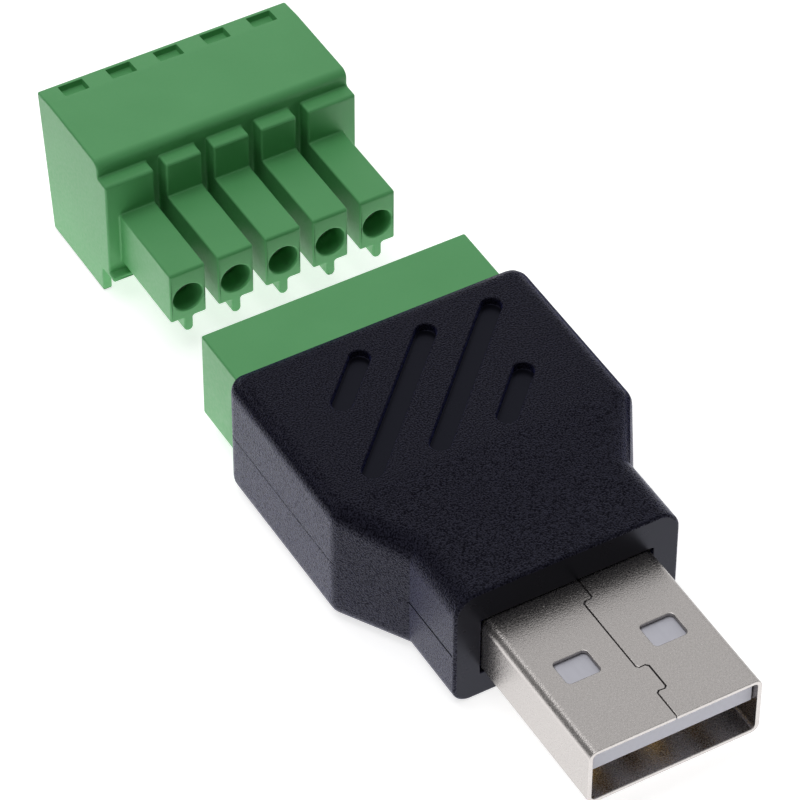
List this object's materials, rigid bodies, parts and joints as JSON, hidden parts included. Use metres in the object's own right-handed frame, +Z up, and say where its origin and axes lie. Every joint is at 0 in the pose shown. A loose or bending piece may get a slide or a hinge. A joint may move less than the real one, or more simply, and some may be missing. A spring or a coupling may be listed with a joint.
{
  "type": "usb-a terminal block connector",
  "caption": "USB-A plug in a black waisted housing with a green pin header, and a green screw terminal plug that pushes into it.",
  "frame": {"origin": "middle of the bounding box, on the underside that the connector lies on", "axes": "+X across the connector, +Y from the USB tip towards the terminal plug, +Z up"},
  "size_m": [0.0212, 0.0638, 0.011],
  "materials": {
    "black_abs": "spark-eroded grain",
    "nickel_plated_steel": "satin plating",
    "white_lcp": "smooth moulded",
    "gold_plated_bronze": "plated",
    "green_fr4": "solder mask",
    "green_pbt": "smooth moulded",
    "tinned_brass": "tin plating",
    "zinc_plated_steel": "zinc plating"
  },
  "bodies": {
    "base": {"housing_top": "black_abs", "housing_bottom": "black_abs", "usb_shell": "nickel_plated_steel", "usb_insulator": "white_lcp", "usb_contact_1": "gold_plated_bronze", "usb_contact_2": "gold_plated_bronze", "usb_contact_3": "gold_plated_bronze", "usb_contact_4": "gold_plated_bronze", "circuit_board": "green_fr4", "header_housing": "green_pbt", "header_pin_1": "tinned_brass", "header_pin_2": "tinned_brass", "header_pin_3": "tinned_brass", "header_pin_4": "tinned_brass", "header_pin_5": "tinned_brass"},
    "plug": {"plug_housing": "green_pbt", "plug_contact_1": "tinned_brass", "plug_contact_2": "tinned_brass", "plug_contact_3": "tinned_brass", "plug_contact_4": "tinned_brass", "plug_contact_5": "tinned_brass"},
    "screw_1": {"clamp_screw_1": "zinc_plated_steel"},
    "cage_1": {"clamp_cage_1": "zinc_plated_steel"},
    "screw_2": {"clamp_screw_2": "zinc_plated_steel"},
    "cage_2": {"clamp_cage_2": "zinc_plated_steel"},
    "screw_3": {"clamp_screw_3": "zinc_plated_steel"},
    "cage_3": {"clamp_cage_3": "zinc_plated_steel"},
    "screw_4": {"clamp_screw_4": "zinc_plated_steel"},
    "cage_4": {"clamp_cage_4": "zinc_plated_steel"},
    "screw_5": {"clamp_screw_5": "zinc_plated_steel"},
    "cage_5": {"clamp_cage_5": "zinc_plated_steel"}
  },
  "joints": [
    {"name": "plug_in", "type": "slide", "parent": "base", "child": "plug", "axis": [0, -1, 0], "range_m": [0, 0.0129]},
    {"name": "screw_1_turn", "type": "hinge", "parent": "plug", "child": "screw_1", "pos_m": [-0.007, 0.02763, 0], "axis": [0, 0, 1], "range_deg": [0, 1710]},
    {"name": "cage_1_close", "type": "slide", "parent": "plug", "child": "cage_1", "axis": [0, 0, -1], "range_m": [0, 0.0019]},
    {"name": "screw_2_turn", "type": "hinge", "parent": "plug", "child": "screw_2", "pos_m": [-0.0035, 0.02763, 0], "axis": [0, 0, 1], "range_deg": [0, 1710]},
    {"name": "cage_2_close", "type": "slide", "parent": "plug", "child": "cage_2", "axis": [0, 0, -1], "range_m": [0, 0.0019]},
    {"name": "screw_3_turn", "type": "hinge", "parent": "plug", "child": "screw_3", "pos_m": [0, 0.02763, 0], "axis": [0, 0, 1], "range_deg": [0, 1710]},
    {"name": "cage_3_close", "type": "slide", "parent": "plug", "child": "cage_3", "axis": [0, 0, -1], "range_m": [0, 0.0019]},
    {"name": "screw_4_turn", "type": "hinge", "parent": "plug", "child": "screw_4", "pos_m": [0.0035, 0.02763, 0], "axis": [0, 0, 1], "range_deg": [0, 1710]},
    {"name": "cage_4_close", "type": "slide", "parent": "plug", "child": "cage_4", "axis": [0, 0, -1], "range_m": [0, 0.0019]},
    {"name": "screw_5_turn", "type": "hinge", "parent": "plug", "child": "screw_5", "pos_m": [0.007, 0.02763, 0], "axis": [0, 0, 1], "range_deg": [0, 1710]},
    {"name": "cage_5_close", "type": "slide", "parent": "plug", "child": "cage_5", "axis": [0, 0, -1], "range_m": [0, 0.0019]}
  ],
  "couplings": [
    {"joint": "screw_1_turn", "follows": "cage_1_close", "rad_per_m": 15708},
    {"joint": "screw_2_turn", "follows": "cage_2_close", "rad_per_m": 15708},
    {"joint": "screw_3_turn", "follows": "cage_3_close", "rad_per_m": 15708},
    {"joint": "screw_4_turn", "follows": "cage_4_close", "rad_per_m": 15708},
    {"joint": "screw_5_turn", "follows": "cage_5_close", "rad_per_m": 15708}
  ]
}
